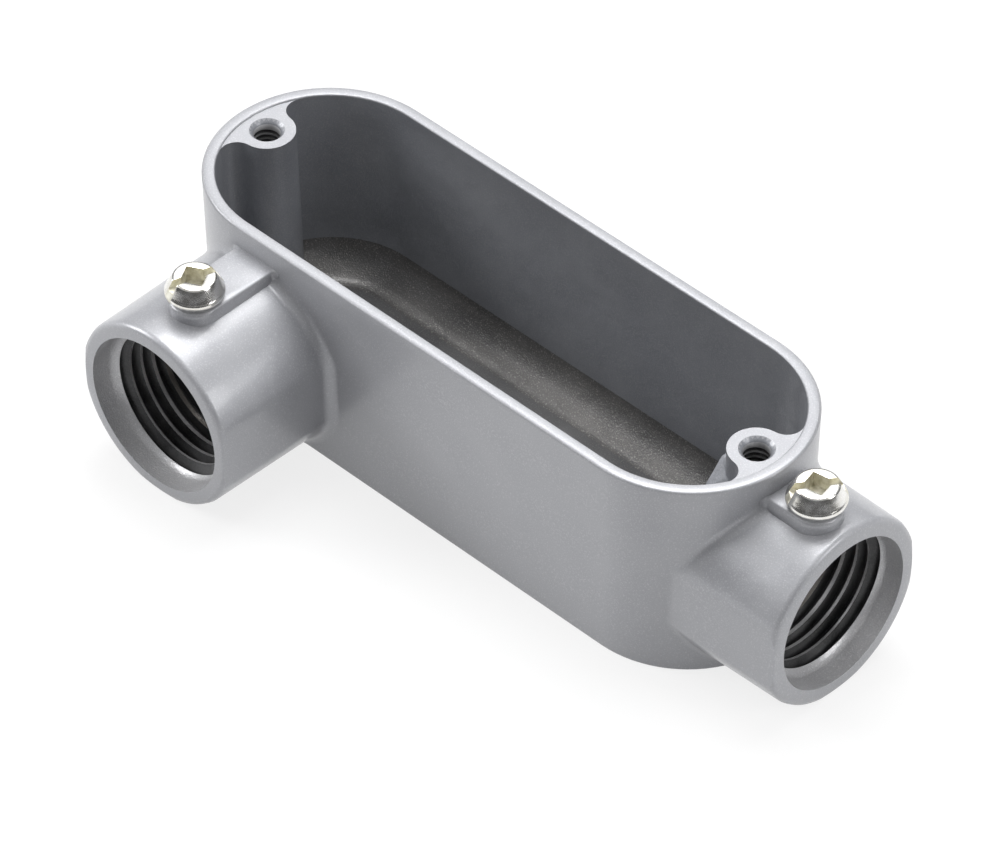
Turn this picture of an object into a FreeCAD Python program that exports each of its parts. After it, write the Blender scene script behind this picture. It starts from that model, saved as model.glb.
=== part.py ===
import FreeCAD, Part
import math
import os

import Sketcher

# Half-inch type LR conduit body: a die-cast aluminium box with one hub on its end and one on its
# side, each hub with a clamping screw for thin-wall conduit. Lengths are millimetres.
# The origin is the middle of the flat back. +Z points out of the open front, +X along the box
# towards the end hub, and the side hub leaves towards -Y.

doc = FreeCAD.newDocument("ConduitBody")
sheet = doc.addObject("Spreadsheet::Sheet", "Sizes")

SIZES = [
    # bores
    ("bore_radius", 9.15, "bore at the crests of the pipe thread, where thin-wall conduit slides in"),
    ("side_lead_step", 1.6, "smooth lead-in of the side hub beyond the bore's radius"),
    ("end_lead_step", 1.3, "smooth lead-in of the end hub beyond the bore's radius"),
    ("side_mouth_radius", "=bore_radius + side_lead_step", "lead-in of the side hub"),
    ("end_mouth_radius", "=bore_radius + end_lead_step", "lead-in of the end hub"),
    ("mouth_depth", 2.4, "length of the lead-in"),
    ("bore_depth", 12.5, "mouth to the stop"),
    ("stop_chamfer", 0.5, "slope from the bore to the stop"),
    ("stop_step", 1.35, "the stop's height, bore to throat"),
    ("throat_radius", "=bore_radius - stop_step", "hole in the stop that the wires pass"),
    ("throat_edge", 0.6, "easing of the end hub's throat on the wire side"),
    # hubs
    ("hub_wall", 2.05, "wall of a hub round its lead-in"),
    ("hub_radius", "=side_mouth_radius + hub_wall", "outside of a hub at its mouth"),
    ("hub_side_cut", 0.7, "how much each side of a hub is flattened"),
    ("hub_side_flat", "=hub_radius - hub_side_cut", "hub axis to its flat sides, at the mouth"),
    ("hub_sunk", 0.65, "how far a hub's round would reach below the flat back"),
    ("hub_axis_height", "=hub_radius - hub_sunk", "bore axis above the back"),
    ("hub_draft", 0.8, "degrees, hub widens to the box"),
    ("hub_edge", 0.8, "easing of the mouth's outer edge"),
    ("hub_root_round", 1.5, "hub to box wall"),
    # box
    ("rim_beside_hub", 2.7, "rim's half width beyond the radius of the end hub"),
    ("rim_width", "=2 * (hub_radius + rim_beside_hub)", "across the open front, outside"),
    ("rim_length", 92.0, "along the open front, outside"),
    ("rim_above_hub", 4.65, "rim above the top of a hub"),
    ("body_height", "=hub_axis_height + hub_radius + rim_above_hub", "back to rim"),
    ("rim_wall", 1.65, "wall thickness at the rim"),
    ("outer_draft", 1.3, "degrees, outside narrows to the back"),
    ("cavity_draft", 1.5, "degrees, inside narrows to the floor"),
    ("floor_thickness", 2.2, "under the cavity"),
    ("floor_slope", 3.3, "slope between cavity wall and floor"),
    ("floor_slope_edge", 1.1, "easing of both edges of that slope"),
    ("rim_edge", 0.3, "easing of the rim's outer edge"),
    ("rim_inner_edge", 0.2, "easing of the rim's inner edge"),
    # places of the hubs
    ("side_hub_inset", 18.6, "far end of the rim to the axis of the side hub"),
    ("side_hub_length", 17.75, "side hub beyond the side of the rim"),
    ("end_hub_length", 9.75, "end hub beyond the end of the rim"),
    ("side_hub_x", "=side_hub_inset - rim_length / 2", "axis of the side hub"),
    ("side_hub_reach", "=rim_width / 2 + side_hub_length", "box centre line to the side mouth"),
    ("end_hub_reach", "=rim_length / 2 + end_hub_length", "box centre to the end mouth"),
    # clamping screw seats
    ("lug_width", 6.5, "raised pad round a clamping screw"),
    ("lug_rise", 1.55, "top of the pad above the top of a hub"),
    ("lug_height", "=hub_axis_height + hub_radius + lug_rise", "top of the pad above the back"),
    ("lug_draft", 2.0, "degrees, sides of the pad"),
    ("lug_root_round", 0.7, "pad to box wall"),
    ("lug_edge", 0.25, "easing of the pad's top edge"),
    ("side_screw_out", 10.1, "side of the rim to the side hub's screw"),
    ("end_screw_out", 4.8, "end of the rim to the end hub's screw"),
    ("side_screw_reach", "=rim_width / 2 + side_screw_out", "box centre line to the side hub's screw"),
    ("end_screw_reach", "=rim_length / 2 + end_screw_out", "box centre to the end hub's screw"),
    # cover screw bosses
    ("cover_screw_inset", 4.8, "end of the rim to each cover screw"),
    ("cover_screw_reach", "=rim_length / 2 - cover_screw_inset", "box centre to each cover screw"),
    ("column_radius", 3.6, "column round a cover screw hole"),
    ("column_flare", 2.2, "round between column and cavity wall"),
    ("column_sink", 0.2, "how far the column runs into the wall"),
    ("rim_step", 0.3, "rim above the top of a column"),
    ("cover_hole_radius", 1.7, "bore for the cover screw's thread"),
    ("cover_hole_depth", 6.0, "depth below the column's top"),
    ("cover_hole_countersink", 0.55, "lead-in of the hole"),
    # thickening round the inner end of the end hub
    ("collar_wall", 2.75, "thickening round the end hub's bore"),
    ("collar_inset", 8.5, "end of the rim to the thickening's face"),
    ("collar_face", "=rim_length / 2 - collar_inset", "box centre to its face"),
    ("collar_roof_fall", 2.6, "rim to the top of the web that runs up to the column"),
    ("collar_roof_height", "=body_height - collar_roof_fall", "top of that web"),
    ("collar_roof_half", 2.0, "half width of the web's top"),
    ("collar_roof_drop", 7.5, "half width where the web meets the thickening"),
    # clamping screws
    ("screw_radius", 2.35, "shank"),
    ("screw_clearance", 0.05, "shank to its hole, all round"),
    ("screw_reach", 6.1, "shank below the head"),
    ("screw_point", 0.5, "chamfer of the tip"),
    ("screw_head_gap", 0.8, "head above the pad as fitted"),
    ("head_flange_radius", 3.75, "lip under the head"),
    ("head_flange_height", 0.9, "lip"),
    ("head_radius", 3.45, "head above the lip"),
    ("head_top_radius", 3.15, "head below its top edge"),
    ("head_height", 2.9, "whole head"),
    ("head_crown", 0.35, "slope at the top edge"),
    ("slot_width", 1.15, "straight slot"),
    ("slot_depth", 1.2, "straight slot"),
    ("recess_width", 2.9, "square recess"),
    ("recess_depth", 2.1, "square recess"),
    ("side_screw_turn", 73.0, "degrees, slot of the side hub's screw"),
    ("end_screw_turn", 55.0, "degrees, slot of the end hub's screw"),
]


def fill_sheet():
    """Write each size, a number or a formula, with its alias and a note."""
    for row, (alias, value, note) in enumerate(SIZES, start=1):
        sheet.set(f"A{row}", alias)
        sheet.set(f"B{row}", str(value))
        sheet.set(f"C{row}", note)
        sheet.setAlias(f"B{row}", alias)
    doc.recompute()


def number(formula):
    """The value of a formula in the sheet's names."""
    return float(sheet.evalExpression(formula))


def size(alias):
    return number(f"Sizes.{alias}")


def sketch_on(body, name, role, x="0", y="0", z="0", turn=0.0):
    """A sketch on one of the body's origin planes, shifted by formulas and turned in its plane."""
    plane = [item for item in body.Origin.OriginFeatures if item.Role == role][0]
    sketch = body.newObject("Sketcher::SketchObject", name)
    sketch.AttachmentSupport = [(plane, "")]
    sketch.MapMode = "FlatFace"
    spin = FreeCAD.Rotation(FreeCAD.Vector(0, 0, 1), turn)
    sketch.AttachmentOffset = FreeCAD.Placement(FreeCAD.Vector(0, 0, 0), spin)
    for axis, formula in zip("xyz", (x, y, z)):
        sketch.setExpression(f"AttachmentOffset.Base.{axis}", formula)
    return sketch


def rule(sketch, kind, *args, name=None, formula=None):
    """Add one constraint, bound to a formula when one is given."""
    values = args if formula is None else (*args, number(formula))
    index = sketch.addConstraint(Sketcher.Constraint(kind, *values))
    if formula is not None:
        sketch.renameConstraint(index, name)
        sketch.setExpression(f"Constraints.{name}", formula)


def line(sketch, start, end):
    a = FreeCAD.Vector(start[0], start[1], 0)
    b = FreeCAD.Vector(end[0], end[1], 0)
    return sketch.addGeometry(Part.LineSegment(a, b))


def arc(sketch, centre, radius, first, last):
    """An arc from one angle to another, in degrees."""
    middle = FreeCAD.Vector(centre[0], centre[1], 0)
    circle = Part.Circle(middle, FreeCAD.Vector(0, 0, 1), radius)
    turn = [FreeCAD.Units.Quantity(f"{angle} deg").getValueAs("rad").Value for angle in (first, last)]
    return sketch.addGeometry(Part.ArcOfCircle(circle, *turn))


START, END, MIDDLE = range(1, 4)
H_AXIS, V_AXIS = -1, -2
ORIGIN = (-1, 1)


def draw_slot_outline(sketch, centre, radius):
    """A long outline with round ends: two straight sides joined by half circles."""
    c = number(centre)
    r = number(radius)
    top = line(sketch, (-c, r), (c, r))
    right = arc(sketch, (c, 0), r, -90, 90)
    bottom = line(sketch, (c, -r), (-c, -r))
    left = arc(sketch, (-c, 0), r, 90, 270)
    rule(sketch, "Tangent", top, END, right, END)
    rule(sketch, "Tangent", bottom, START, right, START)
    rule(sketch, "Tangent", bottom, END, left, END)
    rule(sketch, "Tangent", top, START, left, START)
    rule(sketch, "Horizontal", top)
    rule(sketch, "Symmetric", left, MIDDLE, right, MIDDLE, *ORIGIN)
    rule(sketch, "DistanceX", *ORIGIN, right, MIDDLE, name="centre", formula=centre)
    rule(sketch, "Radius", right, name="radius", formula=radius)


def draw_lug(sketch, reach):
    """A strip with a round nose about the sketch's origin that flares where it meets the wall."""
    w = size("lug_width") / 2
    f = size("lug_root_round")
    wall = -number(reach)
    back = wall - size("rim_wall") / 2
    nose = arc(sketch, (0, 0), w, -90, 90)
    top = line(sketch, (0, w), (wall + f, w))
    top_flare = arc(sketch, (wall + f, w + f), f, 180, 270)
    top_heel = line(sketch, (wall, w + f), (back, w + f))
    heel = line(sketch, (back, w + f), (back, -w - f))
    low_heel = line(sketch, (back, -w - f), (wall, -w - f))
    low_flare = arc(sketch, (wall + f, -w - f), f, 90, 180)
    low = line(sketch, (wall + f, -w), (0, -w))
    rule(sketch, "Coincident", nose, MIDDLE, *ORIGIN)
    rule(sketch, "Radius", nose, name="half_width", formula="Sizes.lug_width / 2")
    rule(sketch, "Tangent", nose, END, top, START)
    rule(sketch, "Tangent", low, END, nose, START)
    rule(sketch, "Horizontal", top)
    rule(sketch, "Horizontal", low)
    rule(sketch, "Tangent", top, END, top_flare, END)
    rule(sketch, "Tangent", low_flare, START, low, START)
    for flare, corner, inner, tag in ((top_flare, top_heel, START, "top"), (low_flare, low_heel, END, "low")):
        rule(sketch, "Radius", flare, name=f"{tag}_flare", formula="Sizes.lug_root_round")
        rule(sketch, "DistanceX", flare, MIDDLE, *ORIGIN, name=f"{tag}_reach",
             formula=f"{reach} - Sizes.lug_root_round")
        rule(sketch, "Coincident", flare, inner, corner, inner)
        rule(sketch, "Horizontal", corner)
    rule(sketch, "Coincident", top_heel, END, heel, START)
    rule(sketch, "Coincident", heel, END, low_heel, START)
    rule(sketch, "Vertical", heel)
    rule(sketch, "DistanceX", heel, START, *ORIGIN, name="heel", formula=f"{reach} + Sizes.rim_wall / 2")
    rule(sketch, "Horizontal", top_flare, START, top_flare, MIDDLE)
    rule(sketch, "Horizontal", low_flare, END, low_flare, MIDDLE)


def draw_circle(sketch, radius, x="0"):
    """A circle on the sketch's x axis."""
    middle = FreeCAD.Vector(number(x), 0, 0)
    circle = Part.Circle(middle, FreeCAD.Vector(0, 0, 1), number(radius))
    index = sketch.addGeometry(circle)
    if x == "0":
        rule(sketch, "Coincident", index, MIDDLE, *ORIGIN)
    else:
        rule(sketch, "PointOnObject", index, MIDDLE, H_AXIS)
        rule(sketch, "DistanceX", *ORIGIN, index, MIDDLE, name="place", formula=x)
    rule(sketch, "Radius", index, name="radius", formula=radius)


def draw_polygon(sketch, corners, tag=""):
    """Straight lines through corners that are given as pairs of formulas."""
    points = [(number(x), number(y)) for x, y in corners]
    sides = [line(sketch, a, b) for a, b in zip(points, points[1:] + points[:1])]
    for first, second in zip(sides, sides[1:] + sides[:1]):
        rule(sketch, "Coincident", first, END, second, START)
    for index, (x, y) in enumerate(corners):
        side = sides[index]
        if x == "0":
            rule(sketch, "PointOnObject", side, START, V_AXIS)
        else:
            rule(sketch, "DistanceX", *ORIGIN, side, START, name=f"{tag}x{index}", formula=x)
        if y == "0":
            rule(sketch, "PointOnObject", side, START, H_AXIS)
        else:
            rule(sketch, "DistanceY", *ORIGIN, side, START, name=f"{tag}y{index}", formula=y)


def swept(body, kind, name, sketch, length, back=False, draft=None):
    """A pad or a pocket of a sketch, with a draft when one is given."""
    feature = body.newObject(f"PartDesign::{kind}", name)
    feature.Profile = sketch
    feature.setExpression("Length", length)
    feature.Reversed = back
    if draft is not None:
        feature.setExpression("TaperAngle", draft)
    doc.recompute()
    return feature


def turned(body, kind, name, sketch):
    """A revolution or a groove of a sketch about its own vertical axis."""
    feature = body.newObject(f"PartDesign::{kind}", name)
    feature.Profile = sketch
    feature.ReferenceAxis = (sketch, ["V_Axis"])
    feature.Angle = 360.0
    doc.recompute()
    return feature


SPOTS = 5


def spots(edge):
    """Points along an edge, its ends among them."""
    first, last = edge.ParameterRange
    return [edge.valueAt(first + (last - first) * step / (SPOTS - 1)) for step in range(SPOTS)]


def chosen_edges(shape, test):
    """The names of the edges whose points all pass the test."""
    return [
        f"Edge{index}"
        for index, edge in enumerate(shape.Edges, start=1)
        if not edge.Degenerated and all(test(point) for point in spots(edge))
    ]


def eased(body, kind, name, amount, test):
    """A fillet or a chamfer on every edge of the body whose points all pass the test."""
    base = body.Tip
    names = chosen_edges(base.Shape, test)
    if not names:
        raise RuntimeError(f"{name}: no edge found")
    feature = body.newObject(f"PartDesign::{kind}", name)
    feature.Base = (base, names)
    feature.setExpression("Radius" if kind == "Fillet" else "Size", amount)
    doc.recompute()
    return feature


NEAR = 0.02


def near(value, target):
    return abs(value - target) < NEAR


def distance(a, b):
    return math.hypot(a, b)


def leg(slanted, other):
    """The third side of a right triangle."""
    return (slanted * slanted - other * other) ** 0.5


def draw_hub(sketch, reach, length):
    """Half of a hub: it widens away from its mouth, whose edge is eased in two slopes."""
    widen = f"{length} * tan(Sizes.hub_draft * 1 deg)"
    radius = "Sizes.hub_radius"
    edge = "Sizes.hub_edge"
    steep = f"{edge} * (1 - sqrt(1 / 2))"
    draw_polygon(sketch, [
        ("0", f"{reach} - ({length})"),
        (f"{radius} + {widen}", f"{reach} - ({length})"),
        (radius, f"{reach} - {edge}"),
        (f"{radius} - {steep}", f"{reach} - {steep}"),
        (f"{radius} - {edge}", reach),
        ("0", reach),
    ])


def trim_hub(body, name, x, turn, reach, length):
    """Flatten both sides of a hub, seen from above."""
    outline = sketch_on(body, f"{name}Flats", "XY_Plane", x, "0", "0", turn=turn)
    flat = "Sizes.hub_side_flat"
    widen = f"{length} * tan(Sizes.hub_draft * 1 deg)"
    beyond = "Sizes.hub_radius * 2"
    for side, tag in (("", "right"), ("-", "left")):
        draw_polygon(outline, [
            (f"{side}({flat})", reach),
            (f"{side}({flat} + {widen})", f"{reach} - ({length})"),
            (f"{side}({beyond})", f"{reach} - ({length})"),
            (f"{side}({beyond})", reach),
        ], tag)
    cut = swept(body, "Pocket", f"{name}Sides", outline, f"2 * {beyond}")
    cut.Midplane = True
    doc.recompute()


def cast_hubs(body):
    """The two hubs. Both run on inside what becomes the box."""
    height = "Sizes.hub_axis_height"
    side_length = "Sizes.side_hub_reach"
    end_length = "Sizes.end_hub_reach"
    side = sketch_on(body, "SideHubProfile", "XY_Plane", "Sizes.side_hub_x", "0", height, turn=180)
    draw_hub(side, "Sizes.side_hub_reach", side_length)
    turned(body, "Revolution", "SideHub", side)
    end = sketch_on(body, "EndHubProfile", "XY_Plane", "0", "0", height, turn=-90)
    draw_hub(end, "Sizes.end_hub_reach", end_length)
    turned(body, "Revolution", "EndHub", end)
    trim_hub(body, "SideHub", "Sizes.side_hub_x", 180, "Sizes.side_hub_reach", side_length)
    trim_hub(body, "EndHub", "0", -90, "Sizes.end_hub_reach", end_length)


def cast_box(body):
    """The drafted outside of the box, carried on below its back until the back is trimmed flat."""
    centre = "(Sizes.rim_length - Sizes.rim_width) / 2"
    outline = sketch_on(body, "RimOutline", "XY_Plane", z="Sizes.body_height")
    draw_slot_outline(outline, centre, "Sizes.rim_width / 2")
    length = "Sizes.body_height + Sizes.hub_radius / 2"
    swept(body, "Pad", "Box", outline, length, back=True, draft="-Sizes.outer_draft")


def round_hub_roots(body):
    """Blend each hub into the wall that it leaves."""
    wall = size("rim_width") / 2
    end = size("rim_length") / 2
    height = size("hub_axis_height")
    side_x = size("side_hub_x")
    inside = size("hub_side_flat") - size("rim_wall")
    outside = size("hub_radius") + size("rim_wall")

    def side_root(p):
        return inside < distance(p.x - side_x, p.z - height) < outside and abs(p.y + wall) < size("rim_wall")

    def end_root(p):
        return inside < distance(p.y, p.z - height) < outside and wall < p.x < end + size("rim_edge")

    eased(body, "Fillet", "SideHubRoot", "Sizes.hub_root_round", side_root)
    eased(body, "Fillet", "EndHubRoot", "Sizes.hub_root_round", end_root)


def flatten_back(body):
    """Trim box and hubs to one flat back."""
    outline = sketch_on(body, "BackPlane", "XY_Plane")
    x = "Sizes.end_hub_reach + Sizes.hub_radius"
    y = "Sizes.side_hub_reach + Sizes.hub_radius"
    draw_polygon(outline, [(f"-({x})", f"-({y})"), (x, f"-({y})"), (x, y), (f"-({x})", y)])
    swept(body, "Pocket", "FlatBack", outline, "Sizes.hub_radius", back=False)


def cast_lugs(body):
    """The raised pads that run from the box wall to round each clamping screw."""
    top = "Sizes.lug_height"
    depth = "Sizes.lug_height - Sizes.hub_axis_height - Sizes.side_mouth_radius"
    side = sketch_on(body, "SideLugOutline", "XY_Plane", "Sizes.side_hub_x",
                     "-Sizes.side_screw_reach", top, turn=-90)
    draw_lug(side, "(Sizes.side_screw_reach - Sizes.rim_width / 2)")
    swept(body, "Pad", "SideLug", side, depth, back=True, draft="Sizes.lug_draft")
    end = sketch_on(body, "EndLugOutline", "XY_Plane", "Sizes.end_screw_reach", "0", top)
    bulge = ("(Sizes.rim_width / 2 - sqrt((Sizes.rim_width / 2) ^ 2"
             " - (Sizes.lug_width / 2 + Sizes.lug_root_round) ^ 2))")
    draw_lug(end, f"(Sizes.end_screw_reach - Sizes.rim_length / 2 + {bulge})")
    swept(body, "Pad", "EndLug", end, depth, back=True, draft="Sizes.lug_draft")


def round_lugs(body):
    """Soften the edge of each pad's top."""
    top = size("lug_height")
    half = size("lug_width") / 2
    side_wall = size("rim_width") / 2
    end_wall = size("rim_length") / 2
    side_x = size("side_hub_x")
    clear = size("rim_step") / 2
    eased(body, "Chamfer", "SideLugEdge", "Sizes.lug_edge",
          lambda p: near(p.z, top) and abs(p.x - side_x) < half + clear and p.y < -side_wall - clear)
    eased(body, "Chamfer", "EndLugEdge", "Sizes.lug_edge",
          lambda p: near(p.z, top) and abs(p.y) < half + clear and p.x > end_wall + clear)


def hollow_box(body):
    """The cavity, with a large round where its drafted walls meet the floor, and the soft rim."""
    centre = "(Sizes.rim_length - Sizes.rim_width) / 2"
    outline = sketch_on(body, "CavityOutline", "XY_Plane", z="Sizes.body_height")
    draw_slot_outline(outline, centre, "Sizes.rim_width / 2 - Sizes.rim_wall")
    depth = "Sizes.body_height - Sizes.floor_thickness"
    swept(body, "Pocket", "Cavity", outline, depth, draft="-Sizes.cavity_draft")
    floor = size("floor_thickness")
    top = size("body_height")
    straight = size("rim_length") / 2 - size("rim_width") / 2
    middle_of_rim = size("rim_width") / 2 - size("rim_wall") / 2

    def off_spine(p):
        return distance(max(abs(p.x) - straight, 0), p.y)

    eased(body, "Chamfer", "FloorSlope", "Sizes.floor_slope", lambda p: near(p.z, floor))
    slope_top = floor + size("floor_slope")
    eased(body, "Chamfer", "FloorSlopeEdges", "Sizes.floor_slope_edge",
          lambda p: (near(p.z, floor) or near(p.z, slope_top)) and off_spine(p) < middle_of_rim)
    eased(body, "Chamfer", "RimOuterEdge", "Sizes.rim_edge",
          lambda p: near(p.z, top) and off_spine(p) > middle_of_rim)
    eased(body, "Chamfer", "RimInnerEdge", "Sizes.rim_inner_edge",
          lambda p: near(p.z, top) and off_spine(p) < middle_of_rim)


def draw_column(sketch, grown):
    """A round column about the sketch's origin that flares into the end wall on its +x side.

    Both drafts let the column grow and the cavity shrink by the same amount at a given depth.
    """
    wall = "(Sizes.rim_width / 2 - Sizes.rim_wall)"
    inset = "(Sizes.cover_screw_reach - (Sizes.rim_length - Sizes.rim_width) / 2)"
    to_flare = f"({wall} - Sizes.column_flare)"
    reach = "(Sizes.column_radius + Sizes.column_flare)"
    along = f"(({to_flare} ^ 2 - {reach} ^ 2 + {inset} ^ 2) / (2 * {inset}))"
    flare_x = f"{along} - {inset}"
    foot_x = f"{along} * ({wall} - {grown}) / {to_flare} - {inset}"
    column_radius = f"Sizes.column_radius + {grown}"
    flare_radius = f"Sizes.column_flare - {grown}"
    behind_radius = f"{wall} + Sizes.column_sink"
    x = number(flare_x)
    y = leg(number(to_flare), number(along))
    foot = (number(foot_x), y * number(f"{wall} - {grown}") / number(to_flare))
    meet = math.degrees(math.atan2(y, x))
    slope = math.degrees(math.atan2(y, number(along)))
    centre = -number(inset)
    sunk = number(behind_radius)
    heel = (centre + leg(sunk, foot[1]), foot[1])
    turn = math.degrees(math.asin(foot[1] / sunk))
    flare = number(flare_radius)
    bow = arc(sketch, (0, 0), number(column_radius), meet, 360 - meet)
    lower = arc(sketch, (x, -y), flare, -slope, 180 - meet)
    lower_heel = line(sketch, (foot[0], -foot[1]), (heel[0], -heel[1]))
    behind = arc(sketch, (centre, 0), sunk, -turn, turn)
    upper_heel = line(sketch, heel, foot)
    upper = arc(sketch, (x, y), flare, meet - 180, slope)
    rule(sketch, "Coincident", bow, MIDDLE, *ORIGIN)
    rule(sketch, "Radius", bow, name="radius", formula=column_radius)
    rule(sketch, "Tangent", bow, END, lower, END)
    rule(sketch, "Tangent", bow, START, upper, START)
    for side, foot_end, tag in ((lower, START, "lower"), (upper, END, "upper")):
        rule(sketch, "Radius", side, name=f"{tag}_flare", formula=flare_radius)
        rule(sketch, "DistanceX", *ORIGIN, side, MIDDLE, name=f"{tag}_centre", formula=flare_x)
        rule(sketch, "DistanceX", *ORIGIN, side, foot_end, name=f"{tag}_foot", formula=foot_x)
    rule(sketch, "Coincident", lower, START, lower_heel, START)
    rule(sketch, "Coincident", lower_heel, END, behind, START)
    rule(sketch, "Coincident", behind, END, upper_heel, START)
    rule(sketch, "Coincident", upper_heel, END, upper, END)
    rule(sketch, "Horizontal", lower_heel)
    rule(sketch, "Horizontal", upper_heel)
    rule(sketch, "DistanceX", behind, MIDDLE, *ORIGIN, name="behind_centre", formula=inset)
    rule(sketch, "Radius", behind, name="behind", formula=behind_radius)


def cast_column(body, tag, x, turn, depth):
    """One column for a cover screw, from just below the rim down by a formula's depth."""
    top = "Sizes.body_height - Sizes.rim_step"
    grown = "tan(Sizes.cavity_draft * 1 deg)"
    head = sketch_on(body, f"{tag}ColumnTop", "XY_Plane", x, "0", top, turn=turn)
    draw_column(head, f"Sizes.rim_step * {grown}")
    foot = sketch_on(body, f"{tag}ColumnFoot", "XY_Plane", x, "0", f"{top} - ({depth})", turn=turn)
    draw_column(foot, f"(Sizes.rim_step + {depth}) * {grown}")
    column = body.newObject("PartDesign::AdditiveLoft", f"{tag}Column")
    column.Profile = head
    column.Sections = [foot]
    column.Ruled = True
    doc.recompute()


def cast_columns(body):
    """The two columns that take the cover screws. One stands on the floor, one on the collar."""
    top = "Sizes.body_height - Sizes.rim_step"
    in_collar = "Sizes.hub_axis_height + Sizes.bore_radius + Sizes.collar_wall / 2"
    cast_column(body, "Far", "-Sizes.cover_screw_reach", 180, f"{top} - Sizes.floor_thickness")
    cast_column(body, "Hub", "Sizes.cover_screw_reach", 0, f"{top} - ({in_collar})")


COLLAR_RADIUS = "Sizes.bore_radius + Sizes.collar_wall"


def cast_collar(body):
    """The thickening that carries the end hub's bore inside the box, with a web up to the column."""
    face = sketch_on(body, "CollarOutline", "YZ_Plane", "0", "Sizes.hub_axis_height", "Sizes.collar_face")
    draw_circle(face, COLLAR_RADIUS)
    length = "Sizes.rim_length / 2 - Sizes.rim_wall - Sizes.collar_face"
    swept(body, "Pad", "Collar", face, length)
    roof = sketch_on(body, "CollarRoofOutline", "YZ_Plane", "0", "Sizes.hub_axis_height", "Sizes.collar_face")
    top = "Sizes.collar_roof_height - Sizes.hub_axis_height"
    half = "Sizes.collar_roof_half"
    drop = "Sizes.collar_roof_drop"
    foot = f"sqrt(({COLLAR_RADIUS}) ^ 2 - Sizes.collar_roof_drop ^ 2)"
    draw_polygon(roof, [("0", "0"), (drop, foot), (half, top), (f"-{half}", top), (f"-{drop}", foot)])
    swept(body, "Pad", "CollarRoof", roof, length)


def draw_bore(sketch, mouth_radius, reach):
    """Half of a bore: smooth lead-in, clamping stretch, stop and throat."""
    lead_end = f"{reach} - Sizes.mouth_depth"
    lead_slope = f"{mouth_radius} - Sizes.bore_radius"
    stop = f"{reach} - Sizes.bore_depth"
    bore = "Sizes.bore_radius"
    throat = "Sizes.throat_radius"
    chamfer = "Sizes.stop_chamfer"
    draw_polygon(sketch, [
        ("0", "0"),
        (throat, "0"),
        (throat, f"{stop} - {chamfer}"),
        (f"{bore} - {chamfer}", f"{stop} - {chamfer}"),
        (bore, stop),
        (bore, f"{lead_end} - ({lead_slope})"),
        (mouth_radius, lead_end),
        (mouth_radius, reach),
        ("0", reach),
    ])


def bore_hubs(body):
    """Both bores, each from its mouth to the cavity."""
    height = "Sizes.hub_axis_height"
    side = sketch_on(body, "SideBoreProfile", "XY_Plane", "Sizes.side_hub_x", "0", height, turn=180)
    draw_bore(side, "Sizes.side_mouth_radius", "Sizes.side_hub_reach")
    turned(body, "Groove", "SideBore", side)
    end = sketch_on(body, "EndBoreProfile", "XY_Plane", "0", "0", height, turn=-90)
    draw_bore(end, "Sizes.end_mouth_radius", "Sizes.end_hub_reach")
    turned(body, "Groove", "EndBore", end)


def ease_end_throat(body):
    """Smooth the wire side of the end hub's throat."""
    throat = size("throat_radius")
    height = size("hub_axis_height")
    face = size("collar_face")
    eased(body, "Chamfer", "EndThroatEdge", "Sizes.throat_edge",
          lambda p: near(distance(p.y, p.z - height), throat) and near(p.x, face))


def drill(body, name, radius, x, y, top, depth):
    """A round hole straight down from a given height."""
    outline = sketch_on(body, f"{name}Outline", "XY_Plane", x, y, top)
    draw_circle(outline, radius)
    swept(body, "Pocket", name, outline, depth)


def drill_screw_holes(body):
    """The tapped holes of the clamping screws, each from its pad into the bore."""
    radius = "Sizes.screw_radius + Sizes.screw_clearance"
    top = "Sizes.lug_height"
    depth = "Sizes.lug_height - Sizes.hub_axis_height"
    drill(body, "SideScrewHole", radius, "Sizes.side_hub_x", "-Sizes.side_screw_reach", top, depth)
    drill(body, "EndScrewHole", radius, "Sizes.end_screw_reach", "0", top, depth)


def drill_cover_holes(body):
    """The two holes that take the cover screws, countersunk."""
    radius = "Sizes.cover_hole_radius"
    top = "Sizes.body_height - Sizes.rim_step"
    depth = "Sizes.cover_hole_depth"
    drill(body, "FarCoverHole", radius, "-Sizes.cover_screw_reach", "0", top, depth)
    drill(body, "HubCoverHole", radius, "Sizes.cover_screw_reach", "0", top, depth)
    height = number(top)
    x = size("cover_screw_reach")
    wide = size("cover_hole_radius") + size("cover_hole_countersink")
    eased(body, "Chamfer", "CoverHoleLeadIn", "Sizes.cover_hole_countersink",
          lambda p: near(p.z, height) and distance(abs(p.x) - x, p.y) < wide)


def make_casting():
    body = doc.addObject("PartDesign::Body", "ConduitBodyCasting")
    body.Label = "conduit_body"
    for stage in (
        cast_hubs, cast_box, round_hub_roots, flatten_back, cast_lugs, round_lugs,
        hollow_box, cast_columns, cast_collar, bore_hubs, ease_end_throat, drill_screw_holes,
        drill_cover_holes,
    ):
        stage(body)
    return body


def draw_screw(sketch):
    """Half of a clamping screw: pointed shank, lipped head with a slightly conical side."""
    top = "Sizes.head_height"
    shank = "Sizes.screw_radius"
    draw_polygon(sketch, [
        ("0", "-Sizes.screw_reach"),
        (f"{shank} - Sizes.screw_point", "-Sizes.screw_reach"),
        (shank, "Sizes.screw_point - Sizes.screw_reach"),
        (shank, "0"),
        ("Sizes.head_flange_radius", "0"),
        ("Sizes.head_flange_radius", "Sizes.head_flange_height"),
        ("Sizes.head_radius", "Sizes.head_flange_height"),
        ("Sizes.head_top_radius", f"{top} - Sizes.head_crown"),
        ("Sizes.head_top_radius - Sizes.head_crown", top),
        ("0", top),
    ])


RECESS_TURN = 45.0


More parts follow.
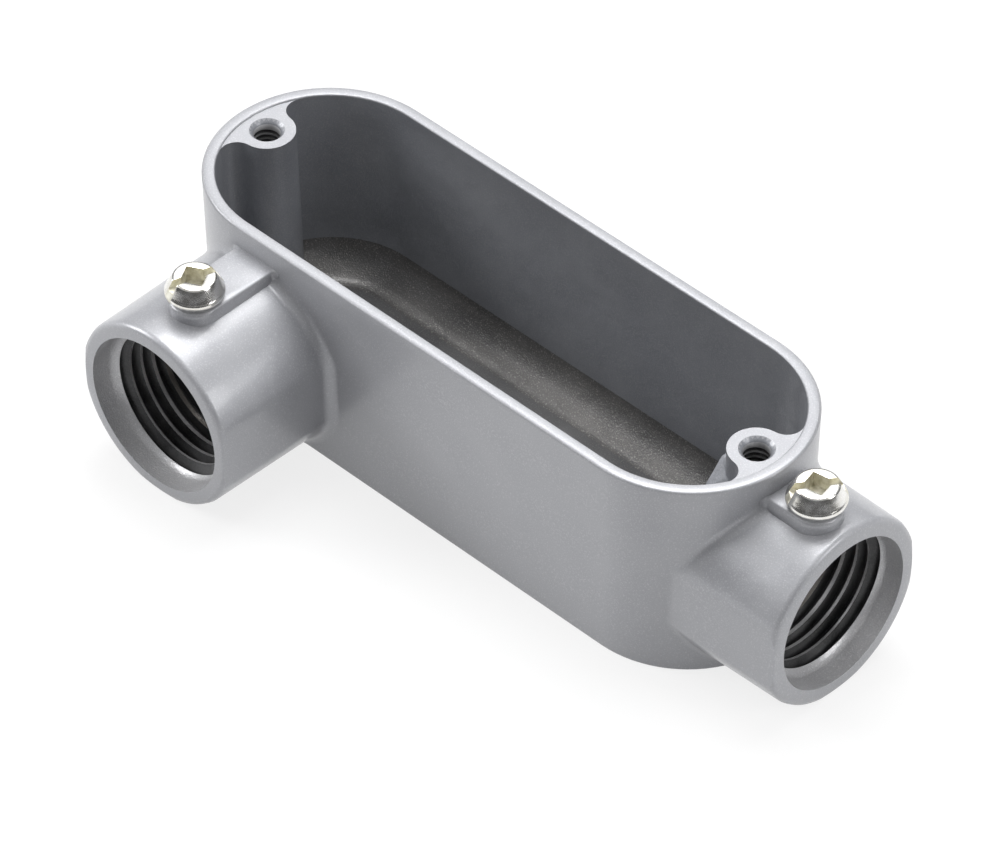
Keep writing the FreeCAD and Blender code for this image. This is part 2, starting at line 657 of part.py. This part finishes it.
def cut_recess(body, name, length, width, depth, turn=0.0):
    """A rectangular recess in the middle of the head."""
    outline = sketch_on(body, f"{name}Outline", "XY_Plane", z="Sizes.head_height", turn=turn)
    x = f"{length} / 2"
    y = f"{width} / 2"
    draw_polygon(outline, [(f"-{x}", f"-{y}"), (x, f"-{y}"), (x, y), (f"-{x}", y)])
    swept(body, "Pocket", name, outline, depth)


def make_screw(name, label, x, y, turn):
    """A clamping screw as fitted, its head a little above the pad."""
    body = doc.addObject("PartDesign::Body", name)
    body.Label = label
    profile = sketch_on(body, f"{name}Profile", "XZ_Plane")
    draw_screw(profile)
    turned(body, "Revolution", f"{name}Turning", profile)
    cut_recess(body, f"{name}Slot", "2 * Sizes.head_flange_radius", "Sizes.slot_width", "Sizes.slot_depth")
    side = "Sizes.recess_width"
    cut_recess(body, f"{name}Square", side, side, "Sizes.recess_depth", turn=RECESS_TURN)
    body.Placement.Rotation = FreeCAD.Rotation(FreeCAD.Vector(0, 0, 1), 1)
    body.setExpression("Placement.Base.x", x)
    body.setExpression("Placement.Base.y", y)
    body.setExpression("Placement.Base.z", "Sizes.lug_height + Sizes.screw_head_gap")
    body.setExpression("Placement.Rotation.Angle", f"{turn} * 1 deg")
    doc.recompute()
    return body


def check_and_export(bodies):
    """Stop on anything that did not build, then write one file per piece."""
    doc.recompute()
    for item in doc.Objects:
        if "Invalid" in item.State or "Error" in item.State:
            raise RuntimeError(f"{item.Name} did not build")
    os.makedirs("parts", exist_ok=True)
    for body in bodies:
        if body.Shape.isNull() or not body.Shape.isValid() or len(body.Shape.Solids) != 1:
            raise RuntimeError(f"{body.Label} is not one valid solid")
        body.Shape.exportStep(f"parts/{body.Label}.step")


fill_sheet()
check_and_export([
    make_casting(),
    make_screw("SideClampScrew", "side_clamp_screw", "Sizes.side_hub_x", "-Sizes.side_screw_reach",
               "Sizes.side_screw_turn"),
    make_screw("EndClampScrew", "end_clamp_screw", "Sizes.end_screw_reach", "0", "Sizes.end_screw_turn"),
])
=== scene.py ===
import math

import bpy
from mathutils import Matrix, Vector


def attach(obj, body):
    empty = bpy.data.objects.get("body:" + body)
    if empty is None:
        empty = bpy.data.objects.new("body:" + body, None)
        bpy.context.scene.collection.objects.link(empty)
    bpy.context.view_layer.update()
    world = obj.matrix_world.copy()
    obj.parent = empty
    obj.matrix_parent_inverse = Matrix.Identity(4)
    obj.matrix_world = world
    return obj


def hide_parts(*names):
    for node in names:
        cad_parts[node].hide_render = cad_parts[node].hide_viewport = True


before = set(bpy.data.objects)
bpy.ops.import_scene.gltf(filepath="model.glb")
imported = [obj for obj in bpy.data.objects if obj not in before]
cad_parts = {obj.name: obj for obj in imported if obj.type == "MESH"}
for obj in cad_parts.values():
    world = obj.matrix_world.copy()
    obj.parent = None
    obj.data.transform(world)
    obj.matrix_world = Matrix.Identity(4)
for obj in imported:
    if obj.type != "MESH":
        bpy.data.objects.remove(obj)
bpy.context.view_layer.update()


# The casting is one piece of die-cast aluminium: the box with its two hubs, lugs and screw
# bosses. It starts from the solid's own surface. Its threads are tapped after casting, so they
# are cut into that surface here.
MM = 0.001


def make_active(piece):
    bpy.ops.object.select_all(action="DESELECT")
    piece.select_set(True)
    bpy.context.view_layer.objects.active = piece


def edit(piece, mode="FACE"):
    make_active(piece)
    bpy.ops.object.mode_set(mode="EDIT")
    bpy.ops.mesh.select_mode(type=mode)
    bpy.ops.mesh.select_all(action="DESELECT")


def leave_edit():
    bpy.ops.object.mode_set(mode="OBJECT")


def apply_modifier(piece, kind, **settings):
    make_active(piece)
    modifier = piece.modifiers.new(kind.title(), kind)
    for name, value in settings.items():
        setattr(modifier, name, value)
    bpy.ops.object.modifier_apply(modifier=modifier.name)


def place(piece, spot, turn=(0.0, 0.0, 0.0)):
    """Turn and move a piece by millimetres and degrees, in its mesh."""
    piece.rotation_euler = [math.radians(angle) for angle in turn]
    piece.location = [value * MM for value in spot]
    make_active(piece)
    bpy.ops.object.transform_apply(location=True, rotation=True, scale=True)


def copy_of_solid(node, name):
    """The node's own surface as a new closed piece, with its doubled points merged."""
    piece = node.copy()
    piece.data = node.data.copy()
    piece.name = piece.data.name = name
    piece.parent = None
    piece.matrix_world = Matrix.Identity(4)
    bpy.context.scene.collection.objects.link(piece)
    piece.data.materials.clear()
    edit(piece, "VERT")
    bpy.ops.mesh.select_all(action="SELECT")
    bpy.ops.mesh.remove_doubles(threshold=0.002 * MM)
    leave_edit()
    bpy.ops.mesh.customdata_custom_splitnormals_clear()
    return piece


def outline_piece(name, corners):
    """One closed outline in the XZ plane, from corners in millimetres: a plane drawn together to
    a point, which is pulled from corner to corner."""
    bpy.ops.mesh.primitive_plane_add(size=1.0, location=(0, 0, 0))
    piece = bpy.context.object
    piece.name = piece.data.name = name
    edit(piece, "VERT")
    bpy.ops.mesh.select_all(action="SELECT")
    bpy.ops.mesh.merge(type="CENTER")
    spots = [Vector((x * MM, 0, z * MM)) for x, z in corners]
    bpy.ops.transform.translate(value=spots[0])
    for before, after in zip(spots, spots[1:]):
        bpy.ops.mesh.extrude_vertices_move(TRANSFORM_OT_translate={"value": after - before})
    leave_edit()
    edit(piece, "VERT")
    leave_edit()
    for end in (piece.data.vertices[0], piece.data.vertices[-1]):
        end.select = True
    bpy.ops.object.mode_set(mode="EDIT")
    bpy.ops.mesh.edge_face_add()
    leave_edit()
    return piece


def thread_cutter(name, crest, root, pitch, turns, flat, narrow=0.0, steps=96):
    """A helical ridge along +Z. Cut away, it leaves flat crests and a groove down to the root."""
    half = (pitch - flat) / 2
    foot = pitch * 0.06
    skin = math.copysign(pitch / 4, root - crest)
    cutter = outline_piece(name, [
        (crest - skin, -half), (crest, -half), (root, -foot),
        (root, foot), (crest, half), (crest - skin, half),
    ])
    apply_modifier(cutter, "SCREW", angle=2 * math.pi, screw_offset=pitch * MM, iterations=turns,
                   steps=steps, render_steps=steps, use_smooth_shade=False)
    edit(cutter, "EDGE")
    bpy.ops.mesh.select_non_manifold()
    bpy.ops.mesh.fill_holes(sides=0)
    bpy.ops.mesh.select_all(action="SELECT")
    bpy.ops.mesh.normals_make_consistent(inside=False)
    leave_edit()
    if narrow:
        apply_modifier(cutter, "SIMPLE_DEFORM", deform_method="TAPER", deform_axis="Z",
                       factor=-narrow)
    return cutter


def cut(piece, cutter):
    """Take the cutter's shape out of the piece."""
    apply_modifier(piece, "BOOLEAN", operation="DIFFERENCE", object=cutter, solver="EXACT")
    bpy.data.objects.remove(cutter)


casting = copy_of_solid(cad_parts["conduit_body"], "painted_casting")
PIPE_PITCH = 1.814
PIPE_CREST = 9.15
PIPE_ROOT = 10.25
PIPE_FLAT = 0.2
PIPE_TAPER = 0.05
# Five turns end just before the stop, which is 13 mm deep.
PIPE_TURNS = 5
HUB_HEIGHT = 12.15
SIDE_HUB_X = -27.4
SIDE_MOUTH = -33.25
END_MOUTH = 55.75
THREAD_START = 3.0
for name, start, turn in (
    ("side_thread", (SIDE_HUB_X, SIDE_MOUTH + THREAD_START, HUB_HEIGHT), (-90, 0, 0)),
    ("end_thread", (END_MOUTH - THREAD_START, 0, HUB_HEIGHT), (0, -90, 0)),
):
    thread = thread_cutter(name, PIPE_CREST, PIPE_ROOT, PIPE_PITCH, PIPE_TURNS, PIPE_FLAT,
                           narrow=PIPE_TAPER)
    place(thread, start, turn=turn)
    cut(casting, thread)

COVER_SCREW_X = 41.2
COLUMN_TOP = 29.3
COVER_CREST = 1.7
COVER_ROOT = 2.05
COVER_PITCH = 0.8
COVER_FLAT = 0.3
COVER_TURNS = 6
COVER_THREAD_DEPTH = 5.95
for side in (-1, 1):
    thread = thread_cutter("cover_thread", COVER_CREST, COVER_ROOT, COVER_PITCH, COVER_TURNS,
                           COVER_FLAT, steps=48)
    place(thread, (side * COVER_SCREW_X, 0, COLUMN_TOP - COVER_THREAD_DEPTH))
    cut(casting, thread)


# What the paint does on the casting. The coat is a grey powder with fine metallic grains, painted
# darker down in the cavity as shade, and the tapped threads have none.
def nodes_of(material):
    material.use_nodes = True
    tree = material.node_tree
    shader = tree.nodes["Principled BSDF"]
    return tree, shader


def link(tree, source, target):
    tree.links.new(source, target)


def noise(tree, scale, detail=3.0, rough=0.5):
    """Noise over the object's own coordinates. The scale counts grains in a millimetre."""
    place_node = tree.nodes.new("ShaderNodeTexCoord")
    grain = tree.nodes.new("ShaderNodeTexNoise")
    grain.inputs["Scale"].default_value = scale / MM
    grain.inputs["Detail"].default_value = detail
    grain.inputs["Roughness"].default_value = rough
    link(tree, place_node.outputs["Object"], grain.inputs["Vector"])
    return grain.outputs["Fac"]


def ramp(tree, value, stops):
    """Colours along a value, from pairs of a position and a colour."""
    colours = tree.nodes.new("ShaderNodeValToRGB")
    table = colours.color_ramp.elements
    while len(table) < len(stops):
        table.new(0.5)
    for element, (position, colour) in zip(table, stops):
        element.position = position
        element.color = (*colour, 1.0)
    link(tree, value, colours.inputs["Fac"])
    return colours.outputs["Color"]


def spread(tree, value, low, high, to_low, to_high):
    """The value's range from low to high, mapped to another range."""
    span = tree.nodes.new("ShaderNodeMapRange")
    limits = {"From Min": low, "From Max": high, "To Min": to_low, "To Max": to_high}
    for name, number in limits.items():
        span.inputs[name].default_value = number
    link(tree, value, span.inputs["Value"])
    return span.outputs["Result"]


def blend(tree, amount, first, second):
    """A mix of two colours, each a socket."""
    mix = tree.nodes.new("ShaderNodeMix")
    mix.data_type = "RGBA"
    link(tree, amount, mix.inputs["Factor"])
    link(tree, first, mix.inputs["A"])
    link(tree, second, mix.inputs["B"])
    return mix.outputs["Result"]


def bump(tree, shader, layers):
    """Stacked bumps, from pairs of a height and a depth in millimetres."""
    before = None
    for height, depth in layers:
        layer = tree.nodes.new("ShaderNodeBump")
        layer.inputs["Distance"].default_value = depth * MM
        link(tree, height, layer.inputs["Height"])
        if before:
            link(tree, before, layer.inputs["Normal"])
        before = layer.outputs["Normal"]
    link(tree, before, shader.inputs["Normal"])


def coat(name, tones, glint, metal, rough, depths):
    """Powder coat: a broad cloudy tone, fine grains in it and the rough skin of baked powder."""
    material = bpy.data.materials.new(name)
    tree, shader = nodes_of(material)
    broad = noise(tree, 0.12, 4.0)
    fine = noise(tree, 5.5, 1.0)
    dark, pale = tones
    tone = ramp(tree, broad, [(0.3, dark), (0.7, pale)])
    grains = ramp(tree, fine, [(0.3, dark), (0.58, pale), (0.7, glint)])
    share = spread(tree, fine, 0.35, 0.75, 0.2, 0.6)
    link(tree, blend(tree, share, tone, grains), shader.inputs["Base Color"])
    shader.inputs["Metallic"].default_value = metal
    sheen = spread(tree, broad, 0.3, 0.7, rough - 0.05, rough + 0.05)
    link(tree, sheen, shader.inputs["Roughness"])
    shader.inputs["Coat Weight"].default_value = 0.5
    shader.inputs["Coat Roughness"].default_value = 0.16
    lumps, skin = depths
    bump(tree, shader, [(noise(tree, 0.5, 3.0), lumps), (fine, skin)])
    return material


def outer_coat():
    return coat("grey_powder_coat", ((0.33, 0.335, 0.358), (0.385, 0.39, 0.412)),
                (0.52, 0.52, 0.54), metal=0.28, rough=0.42, depths=(0.05, 0.014))


# Painted shade: the cavity's walls get a darker coat than the outside, standing in for the cavity's
# shade.
def wall_coat():
    return coat("cavity_wall_coat_painted_shade", ((0.205, 0.213, 0.235), (0.265, 0.273, 0.295)),
                (0.31, 0.315, 0.335), metal=0.30, rough=0.42, depths=(0.10, 0.016))


# Painted shade: the cavity's floor is darker still.
def floor_coat():
    return coat("cavity_floor_coat_painted_shade", ((0.10, 0.10, 0.102), (0.165, 0.165, 0.167)),
                (0.25, 0.245, 0.24), metal=0.45, rough=0.42, depths=(0.07, 0.02))


# Painted shade and painted highlight: the floor's round is dark like the floor, with brighter grains
# that stand in for light falling on the round.
def round_coat():
    return coat("grainy_floor_round_painted_shade_and_glints", ((0.11, 0.108, 0.107), (0.18, 0.175, 0.17)),
                (0.40, 0.385, 0.36), metal=0.5, rough=0.36, depths=(0.08, 0.04))


# Partly scuffed paint, partly painted light: the mouth's lead-in is much lighter than the outer
# coat, standing in for light on its shaded wall.
def mouth_coat():
    return coat("mouth_coat_scuffed_and_painted_light", ((0.46, 0.46, 0.475), (0.58, 0.58, 0.595)),
                (0.74, 0.74, 0.74), metal=0.3, rough=0.36, depths=(0.05, 0.05))


def tapped_metal(name, tones):
    """Bare cut aluminium, in tones given per use: painted dark as shade in the grooves and light as
    highlight on the crests.
    """
    material = bpy.data.materials.new(name)
    tree, shader = nodes_of(material)
    broad = noise(tree, 0.25, 4.0)
    fine = noise(tree, 5.0, 3.0)
    dark, pale = tones
    tone = ramp(tree, broad, [(0.35, dark), (0.65, pale)])
    grains = ramp(tree, fine, [(0.4, dark), (0.7, pale)])
    share = spread(tree, fine, 0.35, 0.7, 0.2, 0.6)
    link(tree, blend(tree, share, tone, grains), shader.inputs["Base Color"])
    shader.inputs["Metallic"].default_value = 0.6
    link(tree, spread(tree, broad, 0.3, 0.7, 0.32, 0.5), shader.inputs["Roughness"])
    bump(tree, shader, [(broad, 0.03), (fine, 0.015)])
    return material


def paint_faces(piece, slot, test):
    """Give a material slot to the faces whose middles, in millimetres, pass the test."""
    for face in piece.data.polygons:
        if test(face.center / MM, face.normal):
            face.material_index = slot


for finish in (
    outer_coat(), wall_coat(), floor_coat(), round_coat(), mouth_coat(),
    # Painted shade in the grooves and painted highlight on the crests: one bare metal, given dark
    # and light copies.
    tapped_metal("thread_grooves_painted_shade", ((0.03, 0.03, 0.031), (0.09, 0.09, 0.092))),
    tapped_metal("thread_crests_painted_highlight", ((0.40, 0.40, 0.41), (0.60, 0.60, 0.61))),
    tapped_metal("bare_bore", ((0.14, 0.13, 0.12), (0.24, 0.225, 0.21))),
):
    casting.data.materials.append(finish)
OUTER, WALLS, FLOOR, ROUND, MOUTH, SHADED_GROOVES, LIT_CRESTS, BARE = range(8)

BOX_HALF_STRAIGHT = 30.5
CAVITY_REACH = 14.05
CAVITY_BOTTOM = 2.0
WALL_COAT_TOP = 29.2
FLOOR_COAT_TOP = 7.5
ROUND_INNER_REACH = 9.0
ROUND_TOP = 6.8
LEAST_SLOPE = 0.2
NEARLY_LEVEL = 0.97


def off_centre_line(middle):
    """Distance in plan from the line between the centres of the box's two rounded ends."""
    return math.hypot(max(abs(middle.x) - BOX_HALF_STRAIGHT, 0), middle.y)


def in_cavity(middle, normal):
    return off_centre_line(middle) < CAVITY_REACH and CAVITY_BOTTOM < middle.z < WALL_COAT_TOP


def on_cavity_floor(middle, normal):
    return in_cavity(middle, normal) and middle.z < FLOOR_COAT_TOP and normal.z > LEAST_SLOPE


def on_floor_round(middle, normal):
    return (ROUND_INNER_REACH < off_centre_line(middle) < CAVITY_REACH
            and CAVITY_BOTTOM < middle.z < ROUND_TOP and LEAST_SLOPE < normal.z < NEARLY_LEVEL)


SIDE_MOUTH_RADIUS = 10.75
END_MOUTH_RADIUS = 10.45
SIDE_BARE_END = 19.0
END_BARE_END = 18.0
LEAD_IN = 2.4
LEAD_IN_END = 4.05
FACE_DEPTH = 0.1
STOP_RADIUS = 7.4
GROOVE_START = 2.45
GROOVE_END = 11.6
CREST_START = 3.6
CREST_END = 9.6
MOUTH_BAND = 0.05
CREST_BAND = 0.06
ROOT_BAND = 0.1
SLOPE_BAND = 0.08


def side_bore_spot(middle):
    """Distance from the side bore's axis and depth from its mouth."""
    return math.hypot(middle.x - SIDE_HUB_X, middle.z - HUB_HEIGHT), middle.y - SIDE_MOUTH


def end_bore_spot(middle):
    return math.hypot(middle.y, middle.z - HUB_HEIGHT), END_MOUTH - middle.x


def paint_bore(spot, mouth_radius, last):
    """The lead-in in its lighter coat, the bare wall down to the last depth, the thread's grooves in
    painted shade and its crests in painted highlight.
    """
    def between(low, high, start, end, with_slope=False):
        def test(middle, normal):
            off, depth = spot(middle)
            on_slope = abs(off + depth - mouth_radius - LEAD_IN) < SLOPE_BAND
            return low < off < high and start < depth < end and (with_slope or not on_slope)
        return test

    crest_edge = PIPE_CREST + CREST_BAND
    deepest = PIPE_ROOT + ROOT_BAND
    paint_faces(casting, MOUTH, between(PIPE_CREST, mouth_radius + MOUTH_BAND, FACE_DEPTH,
                                        LEAD_IN_END, with_slope=True))
    paint_faces(casting, BARE, between(STOP_RADIUS, deepest, CREST_START, last))
    paint_faces(casting, SHADED_GROOVES, between(crest_edge, deepest, GROOVE_START, GROOVE_END))
    paint_faces(casting, LIT_CRESTS, between(PIPE_CREST - ROOT_BAND, crest_edge, CREST_START, CREST_END))


COVER_HOLE_REACH = 2.15
COVER_HOLE_BOTTOM = 22.0
COVER_HOLE_TOP = 28.7
COVER_CREST_REACH = 1.8
NEARLY_UPRIGHT = 0.3


def off_cover_screw(middle):
    return math.hypot(abs(middle.x) - COVER_SCREW_X, middle.y)


def in_cover_hole(middle, normal):
    return (off_cover_screw(middle) < COVER_HOLE_REACH
            and COVER_HOLE_BOTTOM < middle.z < COVER_HOLE_TOP)


def on_cover_crest(middle, normal):
    return (in_cover_hole(middle, normal) and abs(normal.z) < NEARLY_UPRIGHT
            and off_cover_screw(middle) < COVER_CREST_REACH)


# The cavity's walls, floor and round get the darker coats, which are painted shade.
paint_faces(casting, WALLS, in_cavity)
paint_faces(casting, FLOOR, on_cavity_floor)
paint_faces(casting, ROUND, on_floor_round)
paint_bore(side_bore_spot, SIDE_MOUTH_RADIUS, SIDE_BARE_END)
paint_bore(end_bore_spot, END_MOUTH_RADIUS, END_BARE_END)
# Painted shade in the cover screws' holes, with painted highlight on their crests.
paint_faces(casting, SHADED_GROOVES, in_cover_hole)
paint_faces(casting, LIT_CRESTS, on_cover_crest)


def shade(piece, angle):
    """Smooth shading that leaves edges steeper than the angle and keeps flat faces flat."""
    make_active(piece)
    bpy.ops.object.shade_smooth_by_angle(angle=math.radians(angle))
    apply_modifier(piece, "WEIGHTED_NORMAL", mode="FACE_AREA_WITH_ANGLE", keep_sharp=True)


COUNTERSINK_RADIUS = 2.25
RADIUS_SLACK = 0.05
TOP_SLACK = 0.02


def on_countersink_edge(point):
    off_edge = abs(off_cover_screw(point) - COUNTERSINK_RADIUS)
    return off_edge < RADIUS_SLACK and point.z > COLUMN_TOP - TOP_SLACK


edit(casting, "EDGE")
leave_edit()
for edge in casting.data.edges:
    ends = [casting.data.vertices[index].co / MM for index in edge.vertices]
    edge.select = all(on_countersink_edge(end) for end in ends)
bpy.ops.object.mode_set(mode="EDIT")
bpy.ops.mesh.mark_sharp()
leave_edit()
shade(casting, angle=50)
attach(casting, "casting")
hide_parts("conduit_body")


# The two clamping screws are steel, cold-headed with a straight slot and a square recess, thread
# rolled and zinc plated. Each stands in its lug and bears on the conduit. They are alike, so one
# is modelled and copied.
def zinc():
    """Bright plating with a faint yellow stain."""
    material = bpy.data.materials.new("bright_zinc")
    tree, shader = nodes_of(material)
    stain = noise(tree, 0.6, 4.0)
    fine = noise(tree, 5.0, 2.0)
    link(tree, ramp(tree, stain, [(0.35, (0.74, 0.725, 0.67)), (0.65, (0.88, 0.875, 0.855))]),
         shader.inputs["Base Color"])
    shader.inputs["Metallic"].default_value = 1.0
    link(tree, spread(tree, stain, 0.3, 0.7, 0.14, 0.26), shader.inputs["Roughness"])
    bump(tree, shader, [(noise(tree, 1.2, 3.0), 0.012), (fine, 0.004)])
    return material


def recess_zinc_painted_shade():
    """The plating inside the drive, duller and warmer than outside; its darker colour is painted
    shade in the recess.
    """
    material = bpy.data.materials.new("recess_zinc_painted_shade")
    tree, shader = nodes_of(material)
    stain = noise(tree, 1.4, 4.0)
    link(tree, ramp(tree, stain, [(0.35, (0.60, 0.575, 0.47)), (0.65, (0.84, 0.82, 0.73))]),
         shader.inputs["Base Color"])
    shader.inputs["Metallic"].default_value = 0.9
    link(tree, spread(tree, stain, 0.3, 0.7, 0.3, 0.45), shader.inputs["Roughness"])
    bump(tree, shader, [(noise(tree, 2.0, 3.0), 0.03)])
    return material


def box_cutter(name, size, spot, turn=0.0):
    bpy.ops.mesh.primitive_cube_add(size=1.0, location=(0, 0, 0))
    cutter = bpy.context.object
    cutter.name = cutter.data.name = name
    cutter.scale = [value * MM for value in size]
    place(cutter, spot, turn=(0, 0, turn))
    return cutter


SCREW_HEAD_TOP = 2.7
screw = outline_piece("clamp_screw_pattern", [
    (0.0, -6.1), (1.85, -6.1), (2.35, -5.6), (2.35, 0.0), (3.3, 0.0), (3.55, 0.08), (3.7, 0.25),
    (3.74, 0.45), (3.72, 0.65), (3.67, 0.8), (3.58, 0.92), (3.52, 1.02), (3.44, 1.18), (3.27, 1.52),
    (3.08, 1.9), (2.93, 2.2), (2.8, 2.42), (2.7, 2.6), (2.58, 2.68), (2.4, 2.7), (0.0, 2.7),
])
apply_modifier(screw, "SCREW", angle=2 * math.pi, screw_offset=0.0, steps=96, render_steps=96,
               use_merge_vertices=True, merge_threshold=0.001 * MM, use_smooth_shade=False)
edit(screw, "VERT")
bpy.ops.mesh.select_all(action="SELECT")
bpy.ops.mesh.remove_doubles(threshold=0.002 * MM)
bpy.ops.mesh.delete_loose()
bpy.ops.mesh.select_all(action="SELECT")
bpy.ops.mesh.normals_make_consistent(inside=False)
leave_edit()
SHANK_CREST = 2.36
SHANK_ROOT = 1.95
SHANK_PITCH = 0.8
SHANK_FLAT = 0.1
SHANK_TURNS = 8
SHANK_START = -6.6
shank_thread = thread_cutter("shank_thread", SHANK_CREST, SHANK_ROOT, SHANK_PITCH, SHANK_TURNS,
                             SHANK_FLAT, steps=48)
place(shank_thread, (0, 0, SHANK_START))
cut(screw, shank_thread)
SLOT_SIZE = (8.0, 1.15, 2.4)
SQUARE_SIZE = (2.9, 2.9, 4.2)
EDGE_WIDTH = 0.09
cut(screw, box_cutter("slot", SLOT_SIZE, (0, 0, SCREW_HEAD_TOP)))
cut(screw, box_cutter("square", SQUARE_SIZE, (0, 0, SCREW_HEAD_TOP), turn=45))
apply_modifier(screw, "BEVEL", width=EDGE_WIDTH * MM, segments=2, limit_method="ANGLE",
               angle_limit=math.radians(50), use_clamp_overlap=True)
shade(screw, angle=40)
screw.data.materials.append(zinc())
screw.data.materials.append(recess_zinc_painted_shade())
PLATING, DRIVE = range(2)

DRIVE_FLOOR = 0.3
DRIVE_EDGE = 0.12
SLOT_REACH = 0.62
SQUARE_REACH = 2.1


def in_drive(middle, normal):
    """The walls and floors of the slot and of the square, which stands on its corner."""
    in_slot = abs(middle.y) < SLOT_REACH
    in_square = abs(middle.x) + abs(middle.y) < SQUARE_REACH
    return DRIVE_FLOOR < middle.z < SCREW_HEAD_TOP - DRIVE_EDGE and (in_slot or in_square)


paint_faces(screw, DRIVE, in_drive)

LUG_TOP = 26.5
HEAD_GAP = 0.82
SIDE_SCREW_Y = -25.6
END_SCREW_X = 50.8
for name, node, body, spot, turn in (
    ("side_clamp_screw_plated", "side_clamp_screw", "side_screw", (SIDE_HUB_X, SIDE_SCREW_Y), 73.0),
    ("end_clamp_screw_plated", "end_clamp_screw", "end_screw", (END_SCREW_X, 0.0), 55.0),
):
    fitted = screw.copy()
    fitted.data = screw.data.copy()
    fitted.name = fitted.data.name = name
    bpy.context.scene.collection.objects.link(fitted)
    place(fitted, (*spot, LUG_TOP + HEAD_GAP), turn=(0, 0, turn))
    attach(fitted, body)
    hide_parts(node)
bpy.data.objects.remove(screw)


# The studio is a pale floor under soft light from above, with the camera where the photographer
# stood.
def looking_rays(tree):
    """1 where the camera, a mirror or clear glass looks, so that each sees a white ground."""
    path = tree.nodes.new("ShaderNodeLightPath")
    seen = path.outputs["Is Camera Ray"]
    for name in ("Is Glossy Ray", "Is Transmission Ray"):
        either = tree.nodes.new("ShaderNodeMath")
        either.operation = "MAXIMUM"
        link(tree, seen, either.inputs[0])
        link(tree, path.outputs[name], either.inputs[1])
        seen = either.outputs["Value"]
    return seen


FLOOR_GAP = 0.2
bpy.ops.mesh.primitive_plane_add(size=6.0, location=(0, 0, 0))
floor = bpy.context.object
floor.name = floor.data.name = "studio_floor"
place(floor, (0, 0, -FLOOR_GAP))
ground = bpy.data.materials.new("pale_floor")
tree, shader = nodes_of(ground)
looking = looking_rays(tree)
link(tree, spread(tree, looking, 0.0, 1.0, 0.5, 0.9), shader.inputs["Base Color"])
shader.inputs["Roughness"].default_value = 0.9
shader.inputs["Specular IOR Level"].default_value = 0.1
glow = tree.nodes.new("ShaderNodeEmission")
mixed = tree.nodes.new("ShaderNodeMixShader")
link(tree, spread(tree, looking, 0.0, 1.0, 0.0, 0.8), mixed.inputs["Fac"])
link(tree, shader.outputs["BSDF"], mixed.inputs[1])
link(tree, glow.outputs["Emission"], mixed.inputs[2])
link(tree, mixed.outputs["Shader"], tree.nodes["Material Output"].inputs["Surface"])
floor.data.materials.append(ground)

world = bpy.data.worlds.new("studio")
bpy.context.scene.world = world
world.use_nodes = True
sky = world.node_tree.nodes["Background"]
where = world.node_tree.nodes.new("ShaderNodeTexCoord")
split = world.node_tree.nodes.new("ShaderNodeSeparateXYZ")
link(world.node_tree, where.outputs["Generated"], split.inputs["Vector"])
link(world.node_tree, ramp(world.node_tree, split.outputs["Z"], [
    (0.0, (0.09, 0.09, 0.095)), (0.35, (0.14, 0.14, 0.145)), (0.55, (0.75, 0.75, 0.75)),
    (1.0, (0.95, 0.95, 0.95)),
]), sky.inputs["Color"])
sky.inputs["Strength"].default_value = 0.7


def soft_light(name, spot, aim, size, power):
    """A square area light that faces a point, in metres and watts."""
    bpy.ops.object.light_add(type="AREA", location=spot)
    lamp = bpy.context.object
    lamp.name = name
    lamp.data.shape = "SQUARE"
    lamp.data.size = size
    lamp.data.energy = power
    lamp.rotation_euler = (Vector(aim) - Vector(spot)).to_track_quat("-Z", "Y").to_euler()


soft_light("top_light", (-0.15, 0.25, 0.9), (0.0, 0.0, 0.0), 0.6, 8.0)
soft_light("left_light", (-0.9, -0.5, 0.55), (0.0, 0.0, 0.0), 0.5, 7.0)
soft_light("right_light", (0.9, 0.3, 0.5), (0.0, 0.0, 0.0), 0.4, 3.0)
soft_light("back_light", (-0.55, 0.56, 0.74), (0.0, 0.0, 0.0), 0.6, 1.1)

bpy.ops.object.camera_add()
camera = bpy.context.object
camera.name = "photo_camera"
camera.data.lens = 240.0
camera.data.sensor_width = 36.0
camera.data.clip_start = 0.01
right = Vector((0.7151, 0.6990, 0.0)).normalized()
back = Vector((0.5116, -0.5234, 0.6814)).normalized()
up = back.cross(right).normalized()
turn = Matrix((right, up, back)).transposed()
stand = Vector((0.4184, -0.4290, 0.5639))
camera.matrix_world = Matrix.Translation(stand) @ turn.to_4x4()
bpy.context.scene.camera = camera
bpy.context.scene.view_settings.view_transform = "Standard"
